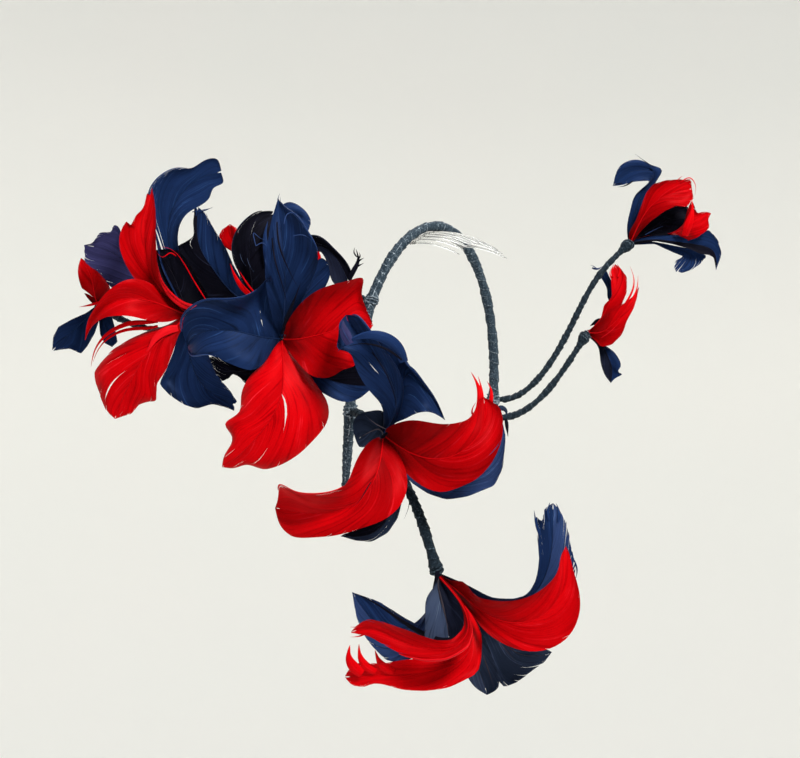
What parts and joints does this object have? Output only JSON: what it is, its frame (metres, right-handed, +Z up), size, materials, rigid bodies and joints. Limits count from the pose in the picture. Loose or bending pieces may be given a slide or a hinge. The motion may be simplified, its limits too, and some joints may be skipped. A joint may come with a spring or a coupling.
{
  "type": "feather flower headband",
  "caption": "Narrow bound hair band with a clear comb and wired stems that carry flowers of curled red and navy feathers, most of them over one side",
  "frame": {"origin": "under the top of the band, where it sits on the crown of the head", "axes": "+Z up, the wearer faces -Y and the wearer's left is +X; the legs lean back 5.5 degrees"},
  "size_m": [0.3922, 0.2755, 0.3055],
  "materials": {
    "silk_binding": "bias-cut silk strip, soft sheen",
    "red_feather": "dyed curled feather, satin",
    "navy_feather": "dyed curled feather, satin",
    "clear_plastic": "clear moulded comb"
  },
  "bodies": {
    "root": {"cheek_navy_arch": "navy_feather", "cheek_navy_calyx": "navy_feather", "cheek_navy_low": "navy_feather", "cheek_navy_shade": "navy_feather", "cheek_navy_up": "navy_feather", "cheek_red_left": "red_feather", "cheek_red_right": "red_feather", "cheek_stem": "silk_binding", "hair_band": "silk_binding", "hair_comb": "clear_plastic", "inner_navy_arch": "navy_feather", "inner_navy_curl": "navy_feather", "inner_navy_left": "navy_feather", "inner_red_ball": "red_feather", "inner_red_right": "red_feather", "inner_stem": "silk_binding", "jaw_navy_drop": "navy_feather", "jaw_navy_fan": "navy_feather", "jaw_navy_leaf": "navy_feather", "jaw_navy_point": "navy_feather", "jaw_navy_rise": "navy_feather", "jaw_red_left": "red_feather", "jaw_red_low": "red_feather", "jaw_red_right": "red_feather", "jaw_stem": "silk_binding", "knot_navy_leaf": "navy_feather", "rear_navy_back": "navy_feather", "rear_navy_crest": "navy_feather", "rear_navy_fall": "navy_feather", "rear_navy_inner": "navy_feather", "rear_red_left": "red_feather", "rear_red_low": "red_feather", "rear_red_up": "red_feather", "rear_stem": "silk_binding", "tail_navy_left": "navy_feather", "tail_navy_low": "navy_feather", "tail_red_up": "red_feather", "tail_stem": "silk_binding", "temple_navy_back": "navy_feather", "temple_navy_claw": "navy_feather", "temple_navy_left": "navy_feather", "temple_navy_side": "navy_feather", "temple_navy_under": "navy_feather", "temple_navy_up": "navy_feather", "temple_red_low": "red_feather", "temple_red_right": "red_feather", "temple_stem": "silk_binding", "under_navy_low": "navy_feather", "under_red_right": "red_feather", "under_red_up": "red_feather", "under_stem": "silk_binding", "wing_navy_hook": "navy_feather", "wing_navy_inner": "navy_feather", "wing_navy_low": "navy_feather", "wing_navy_under": "navy_feather", "wing_red_right": "red_feather", "wing_red_up": "red_feather", "wing_stem": "silk_binding"}
  },
  "joints": []
}
